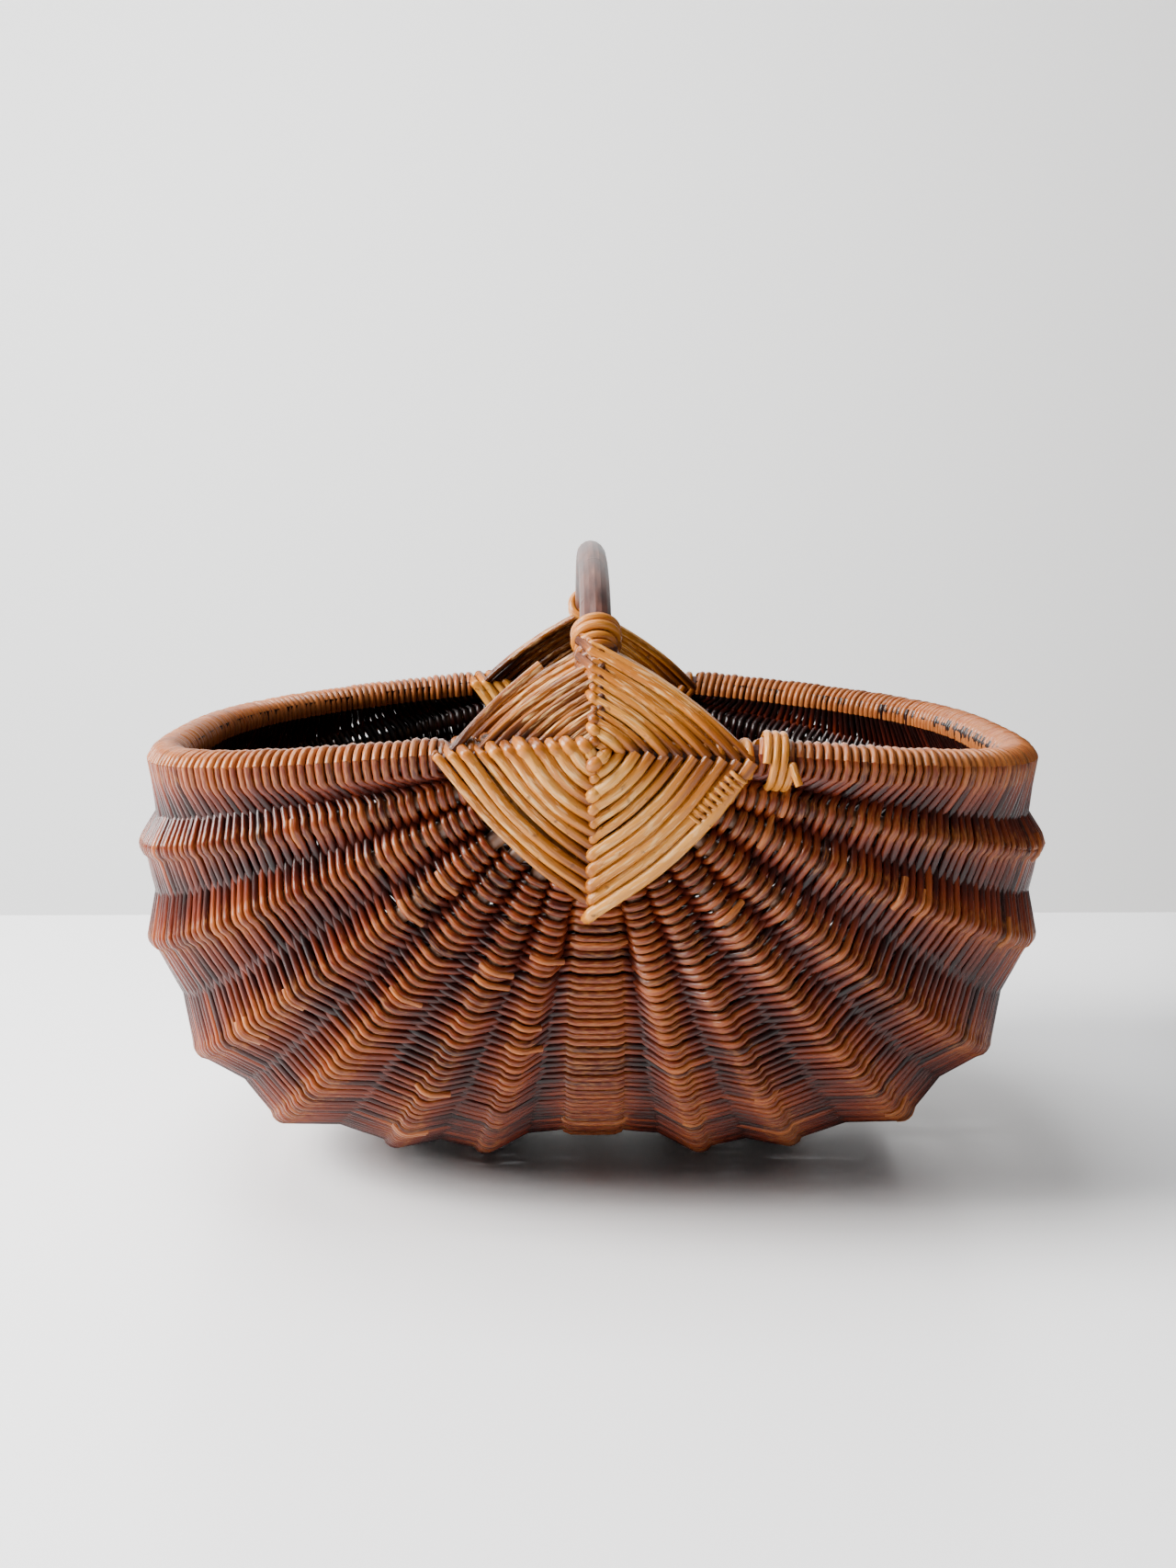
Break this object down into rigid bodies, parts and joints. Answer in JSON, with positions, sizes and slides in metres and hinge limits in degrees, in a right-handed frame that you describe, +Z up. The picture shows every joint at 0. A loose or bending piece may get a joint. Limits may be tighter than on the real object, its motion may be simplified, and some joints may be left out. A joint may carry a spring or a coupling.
{
  "type": "rib basket",
  "caption": "Oval rib basket woven of round willow over fan-shaped ribs, with a wrapped rim, a fixed hoop handle and four-cornered lashings where handle and rim cross.",
  "frame": {"origin": "on the ground under the middle of the basket", "axes": "+Z up, the handle stands in the plane X = 0, the lashed crossings are at -Y and +Y"},
  "size_m": [0.4434, 0.4012, 0.3072],
  "materials": {
    "weave_willow": "red-brown stained and varnished round willow",
    "rod_bark": "thick rod with its bark on, polished by hands",
    "rib_wood": "peeled rib rod, stained",
    "lashing_willow": "honey-coloured peeled willow, worn at the edges"
  },
  "bodies": {
    "root": {"rim_hoop": "rod_bark", "handle_hoop": "rod_bark", "near_tail_binding": "lashing_willow", "near_eye_lashing": "lashing_willow", "far_eye_lashing": "lashing_willow", "near_handle_collar": "lashing_willow", "far_handle_collar": "lashing_willow", "rib_left_1": "rib_wood", "rib_left_2": "rib_wood", "rib_left_3": "rib_wood", "rib_left_4": "rib_wood", "rib_left_5": "rib_wood", "rib_left_6": "rib_wood", "rib_right_1": "rib_wood", "rib_right_2": "rib_wood", "rib_right_3": "rib_wood", "rib_right_4": "rib_wood", "rib_right_5": "rib_wood", "rib_right_6": "rib_wood", "weave_near_end": "weave_willow", "weave_near_shoulder": "weave_willow", "weave_near_belly": "weave_willow", "weave_far_belly": "weave_willow", "weave_far_shoulder": "weave_willow", "weave_far_end": "weave_willow", "rim_wrapping_left": "weave_willow", "rim_wrapping_right": "weave_willow"}
  },
  "joints": []
}
